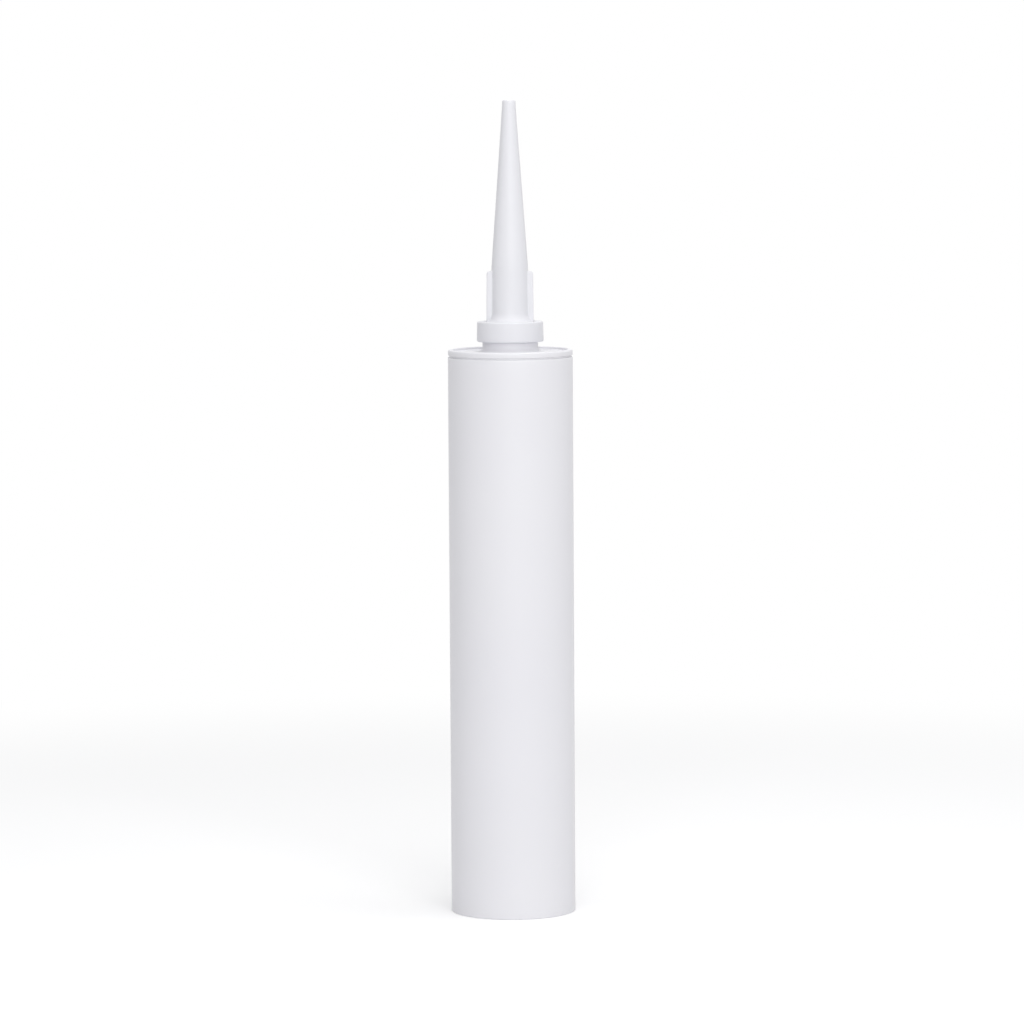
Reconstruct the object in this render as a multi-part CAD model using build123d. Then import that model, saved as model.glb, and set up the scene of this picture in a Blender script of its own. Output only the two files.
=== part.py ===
from build123d import *
import os

# A sealant cartridge that stands on its open lower end, in millimetres.
# The origin is the centre of that end, and +Z runs up the axis to the nozzle's tip.

# barrel: tube, shoulder, rim and neck in one moulding
barrel_diameter = 49.5
bore_diameter = 46.7
barrel_top = 221.5  # where the tube's outside ends, at the groove
barrel_foot_round = 0.35
barrel_top_round = 0.5
entry_diameter = 47.1  # the wider mouth that the piston is pushed in through
entry_end = 14.6
entry_taper_end = 16.0
groove_diameter = 48.4
groove_top = 222.1
rim_diameter = 49.4
rim_top = 224.4
rim_outer_round = 0.8
rim_inner_diameter = 45.4
shoulder_top = 223.4
shoulder_underside = 221.2
shoulder_corner_round = 1.5  # inside, where the bore meets the shoulder
neck_foot_diameter = 22.0
neck_foot_fillet = 2.5
neck_foot_top = 228.0  # just inside the nozzle's socket
neck_diameter = 20.4  # at the root of its thread
neck_top = 234.0
neck_bore_diameter = 16.6
membrane_thickness = 0.6

# piston: a cup with its hollow downwards and a sealing lip at each end
piston_bottom = 18.0
piston_height = 20.0
piston_lip_diameter = 46.54
piston_waist_diameter = 45.2
piston_cup_diameter = 42.6
piston_lip_height = 2.4
piston_lip_slope = 0.8
piston_crown_thickness = 1.6
piston_rib_count = 8
piston_rib_thickness = 1.0
piston_rib_height = 2.2
piston_hub_diameter = 9.0

# nozzle: threaded collar, flare, core with two wings, and a long cone
collar_bottom = 227.5
collar_top = 235.5
collar_bottom_diameter = 26.5
collar_top_diameter = 26.1
collar_bottom_round = 0.7
collar_top_round = 0.5
socket_diameter = 22.2  # at the root of its thread
flare_diameter = 18.7
flare_top = 238.9
flare_fillet = 3.0
core_diameter = 14.8
cone_foot = 257.5
cone_foot_diameter = 14.4
tip_start = 318.5
tip_start_diameter = 5.6
nozzle_top = 322.8
nozzle_top_diameter = 5.2
nozzle_top_round = 0.6
wing_start_diameter = 13.8  # inside the core's wall
wing_span_bottom = 18.7
wing_span_top = 18.4
wing_top = 255.3
wing_thickness = 4.8
wing_corner_round = 1.1
wing_root_fillet = 0.9
wing_edge_round = 1.2
throat_diameter = 14.0  # where the channel opens above the seat
channel_foot = 239.6
channel_foot_diameter = 12.0
channel_top_diameter = 11.8  # at the height of the cone's foot
outlet_diameter = 2.4
outlet_length = 3.0

small_round = 0.3


def turned(*outline):
    """A solid turned about the Z axis from a closed outline of (diameter, height) corners."""
    points = [(diameter / 2, 0, height) for diameter, height in outline]
    return revolve(make_face(Polyline(*points, close=True)), Axis.Z)


def rounded(solid, radius, *rings):
    """The solid with its round edges at the given (diameter, height) places rounded off."""
    edges = []
    for diameter, height in rings:
        for edge in solid.edges().filter_by(GeomType.CIRCLE):
            same_height = abs(edge.arc_center.Z - height) < 0.01
            if same_height and abs(edge.radius - diameter / 2) < 0.01:
                edges.append(edge)
    return fillet(edges, radius)


def make_barrel():
    membrane_underside = neck_top - membrane_thickness
    barrel = turned(
        (entry_diameter, 0),
        (barrel_diameter, 0),
        (barrel_diameter, barrel_top),
        (groove_diameter, barrel_top),
        (groove_diameter, groove_top),
        (rim_diameter, groove_top),
        (rim_diameter, rim_top),
        (rim_inner_diameter, rim_top),
        (rim_inner_diameter, shoulder_top),
        (neck_foot_diameter, shoulder_top),
        (neck_foot_diameter, neck_foot_top),
        (neck_diameter, neck_foot_top),
        (neck_diameter, neck_top),
        (0, neck_top),
        (0, membrane_underside),
        (neck_bore_diameter, membrane_underside),
        (neck_bore_diameter, shoulder_underside),
        (bore_diameter, shoulder_underside),
        (bore_diameter, entry_taper_end),
        (entry_diameter, entry_end),
    )
    barrel = rounded(barrel, barrel_foot_round, (barrel_diameter, 0), (entry_diameter, 0))
    barrel = rounded(barrel, barrel_top_round, (barrel_diameter, barrel_top))
    barrel = rounded(barrel, rim_outer_round, (rim_diameter, rim_top))
    barrel = rounded(barrel, small_round, (rim_diameter, groove_top), (rim_inner_diameter, rim_top),
                     (rim_inner_diameter, shoulder_top), (neck_foot_diameter, neck_foot_top),
                     (neck_diameter, neck_top))
    barrel = rounded(barrel, neck_foot_fillet, (neck_foot_diameter, shoulder_top))
    return rounded(barrel, shoulder_corner_round, (bore_diameter, shoulder_underside))


def make_sealant():
    """The paste: it fills the bore above the piston, and the neck up to the membrane."""
    sealant = turned(
        (0, piston_bottom + piston_height),
        (bore_diameter, piston_bottom + piston_height),
        (bore_diameter, shoulder_underside),
        (neck_bore_diameter, shoulder_underside),
        (neck_bore_diameter, neck_top - membrane_thickness),
        (0, neck_top - membrane_thickness),
    )
    return rounded(sealant, shoulder_corner_round, (bore_diameter, shoulder_underside))


def make_piston():
    crown = piston_bottom + piston_height
    crown_underside = crown - piston_crown_thickness
    slope_end = piston_lip_height + piston_lip_slope
    piston = turned(
        (0, crown),
        (piston_lip_diameter, crown),
        (piston_lip_diameter, crown - piston_lip_height),
        (piston_waist_diameter, crown - slope_end),
        (piston_waist_diameter, piston_bottom + slope_end),
        (piston_lip_diameter, piston_bottom + piston_lip_height),
        (piston_lip_diameter, piston_bottom),
        (piston_cup_diameter, piston_bottom),
        (piston_cup_diameter, crown_underside),
        (0, crown_underside),
    )
    rib_length = (piston_cup_diameter - piston_hub_diameter) / 2 + 1
    rib = Box(rib_length, piston_rib_thickness, piston_rib_height, align=(Align.MIN, Align.CENTER, Align.MAX))
    rib = Pos(piston_hub_diameter / 2 - small_round, 0, crown_underside) * rib
    for number in range(piston_rib_count):
        piston += Rot(0, 0, 360 * number / piston_rib_count) * rib
    hub = Cylinder(piston_hub_diameter / 2, piston_rib_height, align=(Align.CENTER, Align.CENTER, Align.MAX))
    piston += Pos(0, 0, crown_underside) * hub
    return rounded(piston, small_round, (piston_lip_diameter, crown), (piston_lip_diameter, piston_bottom),
                   (piston_cup_diameter, piston_bottom))


def make_wings():
    """Two flat wings on opposite sides of the core, which run from the collar up to the cone's foot."""
    start, bottom, top = wing_start_diameter / 2, wing_span_bottom / 2, wing_span_top / 2
    corner_start = wing_top - wing_corner_round
    root_top = wing_top + wing_root_fillet
    outline = [
        Line((start, collar_top), (bottom, collar_top)),
        Line((bottom, collar_top), (top, corner_start)),
        RadiusArc((top, corner_start), (top - wing_corner_round, wing_top), -wing_corner_round),
        Line((top - wing_corner_round, wing_top), (start + wing_root_fillet, wing_top)),
        RadiusArc((start + wing_root_fillet, wing_top), (start, root_top), wing_root_fillet),
        Line((start, root_top), (start, collar_top)),
    ]
    wing = extrude(Plane.XZ * make_face(outline), wing_thickness / 2, both=True)
    outer_edges = [edge for edge in wing.edges() if edge.center().X > cone_foot_diameter / 2
                   and edge.center().Z > collar_top + small_round
                   and abs(edge.center().Y) > wing_thickness / 2 - 0.01]
    wing = fillet(outer_edges, wing_edge_round)
    return wing + Rot(0, 0, 180) * wing


def make_nozzle():
    outlet_bottom = nozzle_top - outlet_length
    nozzle = turned(
        (socket_diameter, collar_bottom),
        (collar_bottom_diameter, collar_bottom),
        (collar_top_diameter, collar_top),
        (flare_diameter, collar_top),
        (core_diameter, flare_top),
        (cone_foot_diameter, cone_foot),
        (tip_start_diameter, tip_start),
        (nozzle_top_diameter, nozzle_top),
        (outlet_diameter, nozzle_top),
        (outlet_diameter, outlet_bottom),
        (channel_top_diameter, cone_foot),
        (channel_foot_diameter, channel_foot),
        (throat_diameter, neck_top),
        (socket_diameter, neck_top),
    )
    nozzle = rounded(nozzle, collar_bottom_round, (collar_bottom_diameter, collar_bottom))
    nozzle = rounded(nozzle, collar_top_round, (collar_top_diameter, collar_top))
    nozzle = rounded(nozzle, nozzle_top_round, (nozzle_top_diameter, nozzle_top))
    nozzle = rounded(nozzle, small_round, (socket_diameter, collar_bottom))
    nozzle = rounded(nozzle, flare_fillet, (core_diameter, flare_top))
    return nozzle + make_wings()


os.makedirs("parts", exist_ok=True)
pieces = {
    "barrel": make_barrel(),
    "sealant": make_sealant(),
    "piston": make_piston(),
    "nozzle": make_nozzle(),
}
for name, piece in pieces.items():
    export_step(piece, f"parts/{name}.step")
    print(f"{name}: {piece.volume / 1000:.1f} ml")
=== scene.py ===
import math

import bpy
import numpy as np
from mathutils import Euler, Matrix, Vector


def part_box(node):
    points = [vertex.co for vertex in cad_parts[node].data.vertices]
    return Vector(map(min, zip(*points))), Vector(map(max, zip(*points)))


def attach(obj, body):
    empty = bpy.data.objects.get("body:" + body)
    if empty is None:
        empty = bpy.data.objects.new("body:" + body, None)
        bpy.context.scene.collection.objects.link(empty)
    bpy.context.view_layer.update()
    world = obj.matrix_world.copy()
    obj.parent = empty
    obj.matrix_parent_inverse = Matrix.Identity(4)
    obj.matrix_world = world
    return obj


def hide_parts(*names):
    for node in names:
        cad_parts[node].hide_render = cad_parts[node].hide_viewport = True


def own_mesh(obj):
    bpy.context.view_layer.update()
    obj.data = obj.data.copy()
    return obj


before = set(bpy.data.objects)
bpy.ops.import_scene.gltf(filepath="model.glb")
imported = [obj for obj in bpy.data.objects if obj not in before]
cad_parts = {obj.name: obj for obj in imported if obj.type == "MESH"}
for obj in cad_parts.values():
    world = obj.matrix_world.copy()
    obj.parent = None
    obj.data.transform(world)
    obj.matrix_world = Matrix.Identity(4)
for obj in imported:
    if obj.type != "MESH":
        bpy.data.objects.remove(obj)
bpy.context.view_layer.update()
print("frame loaded")

mm = 0.001  # the pieces' sizes are in millimetres and become metres in meshFrom
arcSteps = 6  # pieces in each rounded corner
poleRing = 0.4  # radius of the last ring round a pole on the axis


def arcPoints(before, corner, after, radius):
    # the arc that touches both runs of the corner: from its centre, the start and the end are weighted
    # by sin((1 - t) turn) and sin(t turn), over sin(turn)
    a, c, b = (np.array(p, float) for p in (before, corner, after))
    toA, toB = (a - c) / np.linalg.norm(a - c), (b - c) / np.linalg.norm(b - c)
    half = math.acos(np.clip(toA @ toB, -1, 1)) / 2
    centre = c + (toA + toB) / np.linalg.norm(toA + toB) * radius / math.sin(half)
    start = c + toA * radius / math.tan(half) - centre
    end = c + toB * radius / math.tan(half) - centre
    turn = math.pi - 2 * half
    t = np.linspace(0, 1, arcSteps + 1)[:, None]
    return centre + (start * np.sin((1 - t) * turn) + end * np.sin(t * turn)) / math.sin(turn)


def roundedOutline(corners, spacing):
    # corners are (radius, height, rounding), and straight runs are cut into pieces no longer than spacing
    points = [np.array(corner[:2], float) for corner in corners]
    stretches = []
    for i, (_, _, rounding) in enumerate(corners):
        if rounding:
            stretches.append(arcPoints(points[i - 1], points[i], points[i + 1], rounding))
        else:
            stretches.append(points[i][None])
    outline = stretches[:1]
    for before, after in zip(stretches, stretches[1:]):
        start, end = before[-1], after[0]
        pieces = max(1, math.ceil(np.linalg.norm(end - start) / spacing))
        t = np.linspace(0, 1, pieces + 1)[1:-1, None]
        outline += [start + (end - start) * t, after]
    return np.concatenate(outline)


def uprightRows(radius, first, last, count):
    # rows of one radius, at even heights from the first to the last
    return np.stack([np.full(count, radius), np.linspace(first, last, count)], axis=1)


def evenTurns(columns):
    # the columns' angles, evenly spaced once round the axis
    return np.linspace(0, 2 * math.pi, columns, endpoint=False)


def smoothStep(x, low, high):
    # 3 t squared less 2 t cubed, where t goes from 0 at low to 1 at high
    t = np.clip((x - low) / (high - low), 0, 1)
    return t * t * (3 - 2 * t)


def smoothMax(a, b, width):
    # the larger of the two, with a fillet of about that width where they cross
    t = np.clip(0.5 + (a - b) / (2 * width), 0, 1)
    return b + (a - b) * t + width * t * (1 - t)


def threadRidge(angle, height, thread):
    # a helix: height over pitch, less the angle's share of a circle, gives the place in the turn, and
    # the ridge is a trapezoid about the middle of each turn that fades out at both ends
    turn = (height / thread["pitch"] - angle / (2 * math.pi) + thread["phase"]) % 1
    offMiddle = np.abs(turn - 0.5) * thread["pitch"]
    ridge = smoothStep(thread["ridgeWidth"] / 2 - offMiddle, 0, thread["flank"])
    fadeIn = smoothStep(height, thread["low"], thread["low"] + thread["runOut"])
    fadeOut = 1 - smoothStep(height, thread["high"] - thread["runOut"], thread["high"])
    return thread["depth"] * ridge * (fadeIn * fadeOut)


def meshFrom(name, radius, height, angle, loop=False):
    # x is radius cos(angle) and y is radius sin(angle), with a row for each height and a column for each
    # angle; the rows close into a loop, or else end in a pole on the axis
    x, y = radius * np.cos(angle), radius * np.sin(angle)
    points = np.stack([x, y, np.broadcast_to(height, x.shape)], axis=-1) * mm
    rows, columns = x.shape
    index = np.arange(rows * columns).reshape(rows, columns)
    if loop:
        index = np.concatenate([index, index[:1]])
    beside = np.roll(index, -1, axis=1)
    faces = np.stack([index[:-1], beside[:-1], beside[1:], index[1:]], axis=-1).reshape(-1, 4).tolist()
    vertices = points.reshape(-1, 3)
    if not loop:
        poles = [points[0].mean(axis=0), points[-1].mean(axis=0)]
        first, last = rows * columns, rows * columns + 1
        vertices = np.concatenate([vertices, poles])
        faces += np.stack([beside[0], index[0], np.full(columns, first)], axis=-1).tolist()
        faces += np.stack([index[-1], beside[-1], np.full(columns, last)], axis=-1).tolist()
    mesh = bpy.data.meshes.new(name)
    mesh.from_pydata(vertices.tolist(), [], faces)
    mesh.update()
    corners = np.array([face[:3] for face in faces])
    a, b, c = vertices[corners[:, 0]], vertices[corners[:, 1]], vertices[corners[:, 2]]
    if np.einsum("ij,ij->", a, np.cross(b, c)) < 0:
        mesh.flip_normals()  # faces point outwards when the volume they enclose is positive
    mesh.shade_smooth()
    obj = bpy.data.objects.new(name, mesh)
    bpy.context.scene.collection.objects.link(obj)
    return obj


noiseDetail = {"clouds": 3, "peel": 2, "draw": 2}
noiseLow, noiseHigh = 0.3, 0.7  # nearly all of a noise's values lie between these


def newMaterial(name):
    material = bpy.data.materials.new(name)
    material.use_nodes = True
    material.node_tree.nodes.clear()
    return material, material.node_tree.nodes, material.node_tree.links


def noiseNode(nodes, links, vector, scale, detail, stretch=(1, 1, 1)):
    mapping = nodes.new("ShaderNodeMapping")
    mapping.inputs["Scale"].default_value = stretch
    links.new(vector, mapping.inputs["Vector"])
    noise = nodes.new("ShaderNodeTexNoise")
    noise.inputs["Scale"].default_value = scale
    noise.inputs["Detail"].default_value = detail
    links.new(mapping.outputs["Vector"], noise.inputs["Vector"])
    return noise.outputs["Fac"]


def rangeNode(nodes, links, value, low, high):
    # spreads a noise's usual values over low to high
    spread = nodes.new("ShaderNodeMapRange")
    spread.inputs["From Min"].default_value = noiseLow
    spread.inputs["From Max"].default_value = noiseHigh
    spread.inputs["To Min"].default_value = low
    spread.inputs["To Max"].default_value = high
    links.new(value, spread.inputs["Value"])
    return spread.outputs["Result"]


def bumpNode(nodes, links, height, distance, before=None):
    bump = nodes.new("ShaderNodeBump")
    bump.inputs["Distance"].default_value = distance
    bump.inputs["Strength"].default_value = 1
    links.new(height, bump.inputs["Height"])
    if before:
        links.new(before, bump.inputs["Normal"])
    return bump.outputs["Normal"]


def plasticMaterial(name, look):
    # a faint cloudiness in the colour, orange peel, and fine marks drawn out along the axis
    material, nodes, links = newMaterial(name)
    place = nodes.new("ShaderNodeTexCoord").outputs["Object"]
    clouds = noiseNode(nodes, links, place, look["cloudScale"], noiseDetail["clouds"])
    peel = noiseNode(nodes, links, place, look["peelScale"], noiseDetail["peel"])
    alongAxis = (1, 1, look["drawStretch"])
    draw = noiseNode(nodes, links, place, look["drawScale"], noiseDetail["draw"], alongAxis)
    colour = nodes.new("ShaderNodeMix")
    colour.data_type = "RGBA"
    colour.inputs["A"].default_value = (*look["shade"], 1)
    colour.inputs["B"].default_value = (*look["colour"], 1)
    links.new(rangeNode(nodes, links, clouds, 0, 1), colour.inputs["Factor"])
    shader = nodes.new("ShaderNodeBsdfPrincipled")
    links.new(colour.outputs["Result"], shader.inputs["Base Color"])
    links.new(rangeNode(nodes, links, draw, look["roughLow"], look["roughHigh"]), shader.inputs["Roughness"])
    shader.inputs["IOR"].default_value = 1.5
    shader.inputs["Specular IOR Level"].default_value = look["specular"]
    normal = bumpNode(nodes, links, peel, look["peelHeight"])
    normal = bumpNode(nodes, links, draw, look["drawHeight"], normal)
    links.new(normal, shader.inputs["Normal"])
    links.new(shader.outputs["BSDF"], nodes.new("ShaderNodeOutputMaterial").inputs["Surface"])
    return material


_, barrelHigh = (np.array(corner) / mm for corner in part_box("barrel"))

barrel = {
    # radii, heights and roundings
    "outside": barrelHigh[0], "top": 221.5, "footRound": 0.35, "topRound": 0.5,
    "bore": 23.35, "entry": 23.55, "entryEnd": 14.6, "taperEnd": 16.0,
    "groove": 24.2, "grooveTop": 222.1,
    "rim": 24.7, "rimTop": 224.4, "rimRound": 0.8, "rimInside": 22.7,
    "shoulderTop": 223.4, "shoulderUnder": 221.2, "shoulderRound": 1.5,
    "neckFoot": 11.0, "neckFootFillet": 2.5, "neckFootTop": 228.0,
    "neck": 10.2, "neckTop": barrelHigh[2], "neckBore": 8.3, "boreMouthRound": 0.6, "membrane": 0.6,
    "smallRound": 0.3,
    # how finely the surface is divided
    "columns": 256, "rowSpacing": 6, "threadRows": 60,
}
neckThread = {
    "pitch": 3.0, "ridgeWidth": 1.2, "flank": 0.4, "depth": 0.65, "runOut": 0.8,
    "low": 228.1, "high": 233.8, "phase": 0,
}
barrelLook = {
    "colour": (0.815, 0.81, 0.84), "shade": (0.795, 0.79, 0.825), "cloudScale": 14,
    "peelScale": 900, "peelHeight": 0.000004, "drawScale": 500, "drawStretch": 0.01, "drawHeight": 0.000003,
    "roughLow": 0.34, "roughHigh": 0.42, "specular": 0.4,
}


def makeBarrel():
    # an outline turned about the axis, from the membrane's top down the outside and up the bore to its
    # underside, with the thread's ridge added to the neck's radius
    b = barrel
    under = b["neckTop"] - b["membrane"]
    outline = roundedOutline([
        (poleRing, b["neckTop"], 0),
        (b["neck"], b["neckTop"], b["smallRound"]),
        (b["neck"], b["neckFootTop"], 0),
        (b["neckFoot"], b["neckFootTop"], b["smallRound"]),
        (b["neckFoot"], b["shoulderTop"], b["neckFootFillet"]),
        (b["rimInside"], b["shoulderTop"], b["smallRound"]),
        (b["rimInside"], b["rimTop"], b["smallRound"]),
        (b["rim"], b["rimTop"], b["rimRound"]),
        (b["rim"], b["grooveTop"], b["smallRound"]),
        (b["groove"], b["grooveTop"], 0),
        (b["groove"], b["top"], 0),
        (b["outside"], b["top"], b["topRound"]),
        (b["outside"], 0, b["footRound"]),
        (b["entry"], 0, b["footRound"]),
        (b["entry"], b["entryEnd"], 0),
        (b["bore"], b["taperEnd"], 0),
        (b["bore"], b["shoulderUnder"], b["shoulderRound"]),
        (b["neckBore"], b["shoulderUnder"], b["boreMouthRound"]),
        (b["neckBore"], under, b["smallRound"]),
        (poleRing, under, 0),
    ], b["rowSpacing"])
    # the neck's run is divided finely enough for its thread
    start, end = np.flatnonzero(np.isclose(outline[:, 0], b["neck"]))[[0, -1]]
    neckRows = uprightRows(b["neck"], outline[start, 1], outline[end, 1], b["threadRows"])
    outline = np.concatenate([outline[:start], neckRows, outline[end + 1:]])
    threaded = np.zeros((len(outline), 1))
    threaded[start:start + b["threadRows"]] = 1
    radius, height = outline[:, :1], outline[:, 1:]
    angle = evenTurns(b["columns"])
    ridge = threadRidge(angle, height, neckThread) * threaded
    obj = meshFrom("cartridge_barrel", radius + ridge, height, angle)
    obj.data.materials.append(plasticMaterial("barrel_plastic", barrelLook))
    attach(obj, "barrel")
    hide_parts("barrel")


makeBarrel()
print("barrel made")

nozzleLow, nozzleHigh = (np.array(corner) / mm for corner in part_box("nozzle"))

nozzle = {
    # radii, heights and roundings
    "top": nozzleHigh[2], "tip": 2.6, "tipRound": 0.6, "tipStart": 318.5, "tipStartRadius": 2.8,
    "coneFoot": 257.5, "coneFootRadius": 7.2,
    "core": 7.4, "flare": 9.35, "flareTop": 238.9,
    "collarTop": 235.5, "collarTopRadius": 13.05, "collarTopRound": 0.5,
    "collarBottom": nozzleLow[2], "collarBottomRadius": 13.25, "collarBottomRound": 0.7,
    "socket": 11.1, "seat": barrel["neckTop"], "throat": 7.0, "smallRound": 0.3,
    "channelFoot": 239.6, "channelFootRadius": 6.0, "channelTopRadius": 5.9,
    "outlet": 1.2, "outletLength": 3.0, "outletRound": 0.15,
    "outletStep": (0.01, 0.1),  # how much wider and lower the channel ends than the outlet starts
    # how finely the surface is divided, and how far the columns crowd together about the wings
    "coneSpacing": 3, "collarSpacing": 1.5, "channelSpacing": 4,
    "threadRows": 56, "threadStart": 0.4, "rowGap": 0.05,
    "columns": 384, "crowding": 0.8,
}
socketThread = {**neckThread, "depth": 0.6, "low": 228.3, "high": 233.9, "phase": 0.5}
wing = {
    "spanTop": 9.2, "spanBottom": 9.35, "top": 255.3, "halfThickness": 2.4,
    "topSlope": (0.1, 0.05),  # how far the top edge rises at the core and drops at the corner
    "cornerRound": 1.1, "rootFillet": 0.8, "edgeRound": 1.6, "sideFillet": 0.8,
    "rootInset": 0.7, "rootDrop": 0.3,  # the rows start inside the core and below the cone's foot
    "leastCosine": 0.05, "leastSine": 0.01,  # these keep the plate's distances finite
    "rowSpacing": 0.7,
}
nozzleLook = {
    "colour": (0.80, 0.80, 0.83), "shade": (0.78, 0.78, 0.815), "cloudScale": 30,
    "peelScale": 1100, "peelHeight": 0.000004, "drawScale": 700, "drawStretch": 0.02, "drawHeight": 0.000003,
    "roughLow": 0.36, "roughHigh": 0.44, "specular": 0.4,
}


def coreRadius(height):
    # the line from the cone's foot to the collar, plus the flare, an arc that leaves the core upright
    n = nozzle
    line = np.interp(height, [n["flareTop"], n["coneFoot"]], [n["core"], n["coneFootRadius"]])
    rise, reach = n["flareTop"] - n["collarTop"], n["flare"] - n["core"]
    bend = (rise ** 2 + reach ** 2) / (2 * reach)
    below = np.clip(n["flareTop"] - height, 0, rise)
    return line + bend - np.sqrt(bend ** 2 - below ** 2)


def wingRows():
    # half the wings' span at each height, from the cone's foot down to the collar
    n, w = nozzle, wing
    root = n["coneFootRadius"] - w["rootInset"]
    rise, drop = w["topSlope"]
    return roundedOutline([
        (root, n["coneFoot"] - w["rootDrop"], 0),
        (root, w["top"] + rise, w["rootFillet"]),
        (w["spanTop"], w["top"] - drop, w["cornerRound"]),
        (w["spanBottom"], n["collarTop"], 0),
    ], w["rowSpacing"])


def wingedRadius(radius, span, angle):
    # a flat plate in polar form is the smaller of span over cos(angle) and half thickness over sin(angle),
    # with its edges rounded, and the larger of it and the core's radius is taken, with a fillet
    w = wing
    across = span / np.maximum(np.abs(np.cos(angle)), w["leastCosine"])
    along = w["halfThickness"] / np.maximum(np.abs(np.sin(angle)), w["leastSine"])
    plate = -smoothMax(-across, -along, w["edgeRound"])
    return np.where(span > 0, smoothMax(radius, plate, w["sideFillet"]), radius)


def makeNozzle():
    # a closed outline turned about the axis, from the outlet down the outside and up through the channel,
    # with the wings added to the core's radius and the thread's ridge taken from the socket's
    n = nozzle
    outletBottom = n["top"] - n["outletLength"]
    wider, lower = n["outletStep"]
    threadBottom = n["collarBottom"] + n["threadStart"]
    cone = roundedOutline([
        (n["outlet"], outletBottom, 0),
        (n["outlet"], n["top"], n["outletRound"]),
        (n["tip"], n["top"], n["tipRound"]),
        (n["tipStartRadius"], n["tipStart"], 0),
        (n["coneFootRadius"], n["coneFoot"], 0),
    ], n["coneSpacing"])
    wings = wingRows()
    core = np.stack([coreRadius(wings[:, 1]), wings[:, 1]], axis=1)
    collar = roundedOutline([
        (n["flare"] + n["rowGap"], n["collarTop"], 0),
        (n["collarTopRadius"], n["collarTop"], n["collarTopRound"]),
        (n["collarBottomRadius"], n["collarBottom"], n["collarBottomRound"]),
        (n["socket"], n["collarBottom"], n["smallRound"]),
        (n["socket"], threadBottom, 0),
    ], n["collarSpacing"])
    socket = uprightRows(n["socket"], threadBottom + n["rowGap"], n["seat"] - n["rowGap"], n["threadRows"])
    channel = roundedOutline([
        (n["socket"], n["seat"], 0),
        (n["throat"], n["seat"], n["smallRound"]),
        (n["channelFootRadius"], n["channelFoot"], 0),
        (n["channelTopRadius"], n["coneFoot"], 0),
        (n["outlet"] + wider, outletBottom - lower, 0),
    ], n["channelSpacing"])
    parts = [cone, core, collar, socket, channel]
    outline = np.concatenate(parts)
    span = np.concatenate([wings[:, :1] if part is core else np.zeros((len(part), 1)) for part in parts])
    threaded = np.concatenate([np.full((len(part), 1), part is socket) for part in parts])
    even = evenTurns(n["columns"])
    angle = even - n["crowding"] / 2 * np.sin(2 * even)
    radius, height = outline[:, :1], outline[:, 1:]
    ridge = threadRidge(angle, height, socketThread) * threaded
    obj = meshFrom("screw_on_nozzle", wingedRadius(radius, span, angle) - ridge, height, angle, loop=True)
    obj.data.materials.append(plasticMaterial("nozzle_plastic", nozzleLook))
    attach(obj, "nozzle")
    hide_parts("nozzle")


makeNozzle()
print("nozzle made")

_, pistonHigh = (np.array(corner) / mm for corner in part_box("piston"))

pistonLook = {
    "colour": (0.78, 0.79, 0.80), "shade": (0.76, 0.77, 0.785), "cloudScale": 40,
    "peelScale": 900, "peelHeight": 0.000006, "drawScale": 400, "drawStretch": 0.05, "drawHeight": 0.000003,
    "roughLow": 0.42, "roughHigh": 0.52, "specular": 0.4,
}
paste = {
    "bottom": pistonHigh[2], "top": barrel["neckTop"] - barrel["membrane"],
    "footRound": 0.2, "neckRound": 0.3, "inset": 0.02,  # the inset keeps it off the barrel's wall
    "columns": 160, "rowSpacing": 6,
}
pasteLook = {
    "colour": (0.82, 0.81, 0.78), "shade": (0.79, 0.78, 0.75), "cloudScale": 60,
    "peelScale": 250, "peelHeight": 0.00008, "drawScale": 90, "drawStretch": 1, "drawHeight": 0.00008,
    "roughLow": 0.25, "roughHigh": 0.4, "specular": 0.5,
}


def makePiston():
    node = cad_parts["piston"]
    node.data.materials.clear()
    node.data.materials.append(plasticMaterial("piston_plastic", pistonLook))


def makePaste():
    # an outline turned about the axis, from the membrane down the neck's bore and the barrel's to the piston
    b, p = barrel, paste
    outline = roundedOutline([
        (poleRing, p["top"], 0),
        (b["neckBore"], p["top"], p["neckRound"]),
        (b["neckBore"], b["shoulderUnder"], p["neckRound"]),
        (b["bore"], b["shoulderUnder"], b["shoulderRound"]),
        (b["bore"], p["bottom"], p["footRound"]),
        (poleRing, p["bottom"], 0),
    ], p["rowSpacing"])
    radius, height = outline[:, :1] - p["inset"], outline[:, 1:]
    obj = meshFrom("sealant_paste", radius, height, evenTurns(p["columns"]))
    obj.data.materials.append(plasticMaterial("paste", pasteLook))
    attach(obj, "barrel")
    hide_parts("sealant")
    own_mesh(obj)


makePiston()
makePaste()
print("piston and paste made")

# the studio's places and sizes are in metres
studio = {
    "floorSize": 8, "floorColour": 0.92, "floorLift": 0.16, "floorNear": 0.35, "floorFar": 0.7,
    "worldColour": (0.98, 0.985, 1.0), "worldLight": 0.43,
}
lamps = {
    # place, what it points at, width and height, and watts
    "front_softbox": {"place": (0.25, -1.7, 0.8), "aim": (0, 0, 0.16), "size": (1.4, 1.2), "power": 13},
    "top_softbox": {"place": (0.1, -0.1, 1.5), "aim": (0, 0, 0.1), "size": (1.2, 1.2), "power": 11},
}
cameraSet = {
    "place": (0.0003, -1.927, 0.3337), "pitch": 5.16, "roll": -0.343,  # degrees, down and about the view
    "focalLength": 171.2, "sensor": 36, "nearest": 0.05, "farthest": 50,
}


def seenRays(nodes, links):
    # 1 for a ray that the camera, a mirror or glass sees directly, otherwise 0
    path = nodes.new("ShaderNodeLightPath")
    total = path.outputs["Is Camera Ray"]
    for ray in ("Is Glossy Ray", "Is Transmission Ray"):
        either = nodes.new("ShaderNodeMath")
        either.operation = "MAXIMUM"
        links.new(total, either.inputs[0])
        links.new(path.outputs[ray], either.inputs[1])
        total = either.outputs["Value"]
    return total


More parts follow.
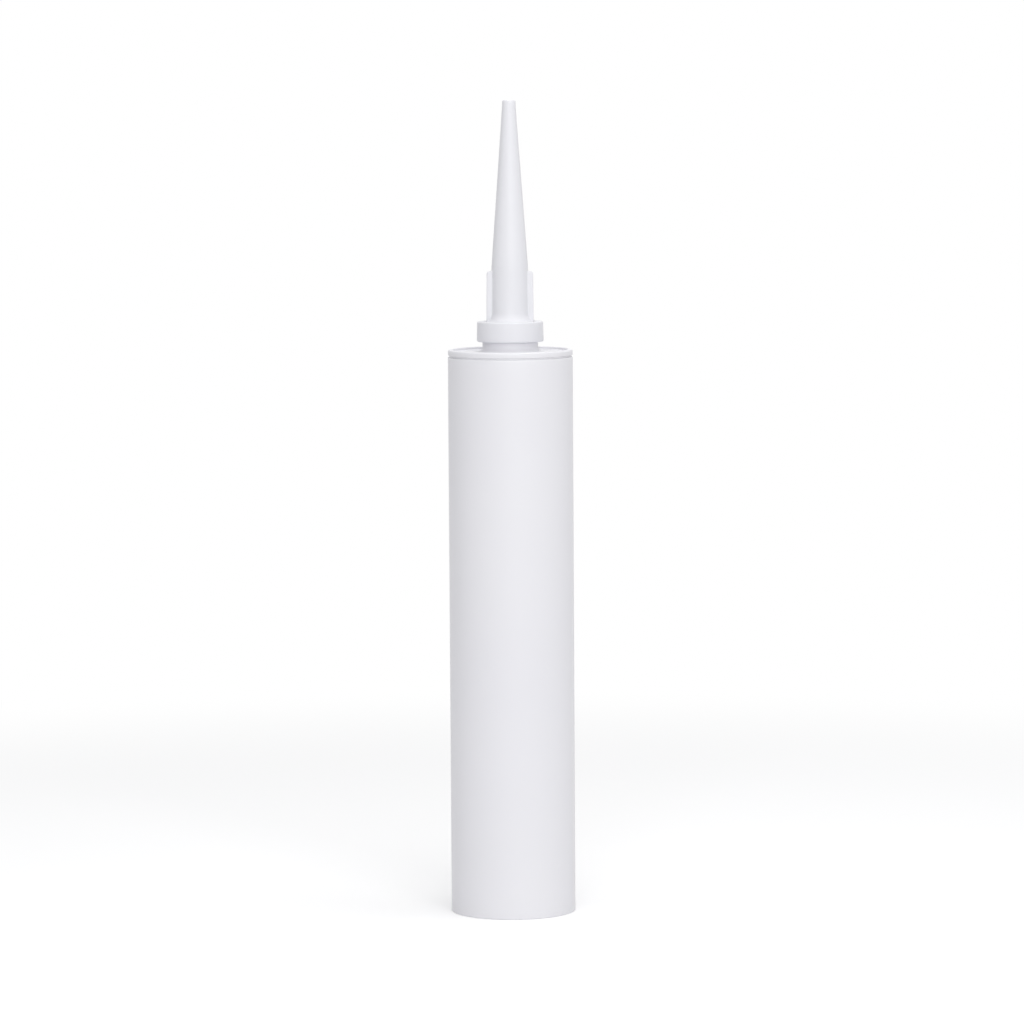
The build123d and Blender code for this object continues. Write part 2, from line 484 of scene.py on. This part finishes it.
def makeWorld():
    # a soft even light on the pieces, and plain white to every ray that sees it
    world = bpy.data.worlds.new("studio")
    world.use_nodes = True
    nodes, links = world.node_tree.nodes, world.node_tree.links
    nodes.clear()
    soft = nodes.new("ShaderNodeBackground")
    white = nodes.new("ShaderNodeBackground")
    mix = nodes.new("ShaderNodeMixShader")
    soft.inputs["Color"].default_value = (*studio["worldColour"], 1)
    soft.inputs["Strength"].default_value = studio["worldLight"]
    white.inputs["Color"].default_value = (1, 1, 1, 1)
    white.inputs["Strength"].default_value = 1
    links.new(seenRays(nodes, links), mix.inputs["Fac"])
    links.new(soft.outputs["Background"], mix.inputs[1])
    links.new(white.outputs["Background"], mix.inputs[2])
    links.new(mix.outputs["Shader"], nodes.new("ShaderNodeOutputWorld").inputs["Surface"])
    bpy.context.scene.world = world


def floorMaterial():
    # pale card that takes the shadow, lifted a little for rays that see it, and plain white far off
    material, nodes, links = newMaterial("pale_floor")
    place = nodes.new("ShaderNodeTexCoord").outputs["Object"]
    distance = nodes.new("ShaderNodeVectorMath")
    distance.operation = "LENGTH"
    links.new(place, distance.inputs[0])
    far = nodes.new("ShaderNodeMapRange")
    far.interpolation_type = "SMOOTHSTEP"
    far.inputs["From Min"].default_value = studio["floorNear"]
    far.inputs["From Max"].default_value = studio["floorFar"]
    links.new(distance.outputs["Value"], far.inputs["Value"])
    seen = seenRays(nodes, links)
    card = nodes.new("ShaderNodeBsdfDiffuse")
    card.inputs["Color"].default_value = (*[studio["floorColour"]] * 3, 1)
    lift = nodes.new("ShaderNodeEmission")
    liftStrength = nodes.new("ShaderNodeMath")
    liftStrength.operation = "MULTIPLY"
    liftStrength.inputs[1].default_value = studio["floorLift"]
    links.new(seen, liftStrength.inputs[0])
    links.new(liftStrength.outputs["Value"], lift.inputs["Strength"])
    near = nodes.new("ShaderNodeAddShader")
    links.new(card.outputs["BSDF"], near.inputs[0])
    links.new(lift.outputs["Emission"], near.inputs[1])
    white = nodes.new("ShaderNodeEmission")
    farSeen = nodes.new("ShaderNodeMath")
    farSeen.operation = "MULTIPLY"
    links.new(far.outputs["Result"], farSeen.inputs[0])
    links.new(seen, farSeen.inputs[1])
    mix = nodes.new("ShaderNodeMixShader")
    links.new(farSeen.outputs["Value"], mix.inputs["Fac"])
    links.new(near.outputs["Shader"], mix.inputs[1])
    links.new(white.outputs["Emission"], mix.inputs[2])
    links.new(mix.outputs["Shader"], nodes.new("ShaderNodeOutputMaterial").inputs["Surface"])
    return material


def makeFloor():
    half = studio["floorSize"] / 2
    corners = [(-half, -half, 0), (half, -half, 0), (half, half, 0), (-half, half, 0)]
    mesh = bpy.data.meshes.new("floor")
    mesh.from_pydata(corners, [], [(0, 1, 2, 3)])
    floor = bpy.data.objects.new("floor", mesh)
    bpy.context.scene.collection.objects.link(floor)
    mesh.materials.append(floorMaterial())


def makeLamps():
    for name, lamp in lamps.items():
        light = bpy.data.lights.new(name, "AREA")
        light.shape = "RECTANGLE"
        light.size, light.size_y = lamp["size"]
        light.energy = lamp["power"]
        obj = bpy.data.objects.new(name, light)
        bpy.context.scene.collection.objects.link(obj)
        x, y, z = np.array(lamp["aim"]) - np.array(lamp["place"])
        obj.location = lamp["place"]
        # a lamp shines straight down until it is tipped up from there and then turned about the upright
        obj.rotation_euler = (math.atan2(math.hypot(x, y), -z), 0, math.atan2(-x, y))


def makeCamera():
    c = cameraSet
    data = bpy.data.cameras.new("camera")
    data.lens, data.sensor_width = c["focalLength"], c["sensor"]
    data.clip_start, data.clip_end = c["nearest"], c["farthest"]
    camera = bpy.data.objects.new("camera", data)
    bpy.context.scene.collection.objects.link(camera)
    camera.location = c["place"]
    level = Euler((math.radians(90 - c["pitch"]), 0, 0)).to_matrix()
    camera.rotation_euler = (level @ Euler((0, 0, math.radians(c["roll"]))).to_matrix()).to_euler()
    bpy.context.scene.camera = camera


makeWorld()
makeFloor()
makeLamps()
makeCamera()
bpy.context.scene.view_settings.view_transform = "Standard"
print("studio made")
